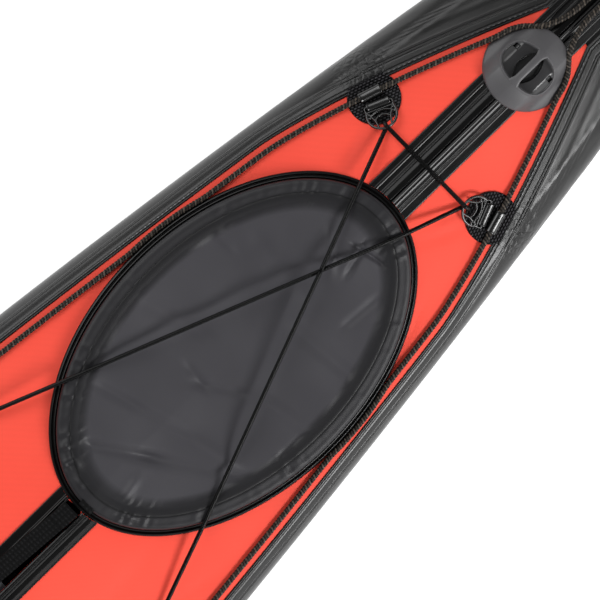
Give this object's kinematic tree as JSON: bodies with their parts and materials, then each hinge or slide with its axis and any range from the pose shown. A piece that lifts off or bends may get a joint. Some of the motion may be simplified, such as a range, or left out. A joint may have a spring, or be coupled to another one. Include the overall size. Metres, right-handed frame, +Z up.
{
  "type": "folding kayak",
  "caption": "Folding kayak: coated fabric skin over a plug-in tube frame with inflatable side tubes, an oval hatch, zipped deck and cockpit.",
  "frame": {"origin": "on the floor under the middle of the boat", "axes": "+X toward the bow, +Y to port, +Z up"},
  "size_m": [5.1, 0.6368, 0.3211],
  "materials": {
    "black_skin": "satin coated",
    "red_skin": "satin coated",
    "grey_cover": "satin coated",
    "rail": "glossy",
    "soft_rubber": "satin",
    "plastic": "fine texture",
    "webbing": "woven",
    "cord": "braided",
    "aluminium": "anodised",
    "air_fabric": "smooth coated",
    "board": "matt",
    "padding": "woven"
  },
  "bodies": {
    "boat": {"hull_skin": "black_skin", "left_deck_panel": "red_skin", "right_deck_panel": "red_skin", "keel_strip": "soft_rubber", "bow_tow_eye": "soft_rubber", "stern_tow_eye": "soft_rubber", "left_air_tube": "air_fabric", "right_air_tube": "air_fabric", "left_air_valve": "plastic", "right_air_valve": "plastic", "fore_closure_left_rail": "rail", "fore_closure_right_rail": "rail", "middle_closure_left_rail": "rail", "middle_closure_right_rail": "rail", "aft_closure_left_rail": "rail", "aft_closure_right_rail": "rail", "hatch_rim": "rail", "tension_strap_front": "webbing", "tension_strap_rear": "webbing", "bow_line_anchor": "webbing", "stern_line_anchor": "webbing", "buckle_socket": "plastic", "cockpit_coaming": "plastic", "fore_left_patch": "webbing", "fore_right_patch": "webbing", "middle_left_patch": "webbing", "middle_right_patch": "webbing", "aft_left_patch": "webbing", "aft_right_patch": "webbing", "fore_left_d_ring": "plastic", "fore_right_d_ring": "plastic", "middle_left_d_ring": "plastic", "middle_right_d_ring": "plastic", "fore_bungee": "cord", "left_safety_line": "cord", "right_safety_line": "cord", "seat_board": "board", "fore_rib": "board", "middle_rib": "board", "aft_rib": "board", "stern_rib": "board", "bow_stem": "board", "stern_stem": "board", "seat_cushion": "padding", "left_foot_rail": "aluminium", "right_foot_rail": "aluminium", "keel_tube": "aluminium", "left_gunwale_tube": "aluminium", "right_gunwale_tube": "aluminium", "left_chine_tube": "aluminium", "right_chine_tube": "aluminium", "fore_ridge_tube": "aluminium", "aft_ridge_tube": "aluminium"},
    "hatch_lid": {"hatch_cover": "grey_cover"},
    "backrest": {"seat_backrest": "padding"},
    "left_pedal": {"left_foot_pedal": "plastic"},
    "right_pedal": {"right_foot_pedal": "plastic"},
    "left_cap": {"left_valve_cap": "plastic"},
    "right_cap": {"right_valve_cap": "plastic"},
    "buckle": {"buckle_plug": "plastic"}
  },
  "joints": [
    {"name": "hatch_lift", "type": "slide", "parent": "boat", "child": "hatch_lid", "axis": [0, 0, 1], "range_m": [0, 0.06], "deforming": ["fore_bungee"]},
    {"name": "backrest_hinge", "type": "hinge", "parent": "boat", "child": "backrest", "pos_m": [-0.342, 0, 0.084], "axis": [0, 1, 0], "range_deg": [-12, 55]},
    {"name": "left_pedal_slide", "type": "slide", "parent": "boat", "child": "left_pedal", "axis": [1, 0, 0], "range_m": [-0.09, 0.09]},
    {"name": "right_pedal_slide", "type": "slide", "parent": "boat", "child": "right_pedal", "axis": [1, 0, 0], "range_m": [-0.09, 0.09]},
    {"name": "left_cap_turn", "type": "hinge", "parent": "boat", "child": "left_cap", "pos_m": [-0.4276, 0.21628, 0.17119], "axis": [0.0587, -0.9489, -0.31], "range_deg": [0, 90]},
    {"name": "right_cap_turn", "type": "hinge", "parent": "boat", "child": "right_cap", "pos_m": [-0.4276, -0.21628, 0.17119], "axis": [-0.0587, -0.9489, 0.31], "range_deg": [0, 90]},
    {"name": "buckle_release", "type": "slide", "parent": "boat", "child": "buckle", "axis": [1, 0, 0], "range_m": [0, 0.03]}
  ]
}
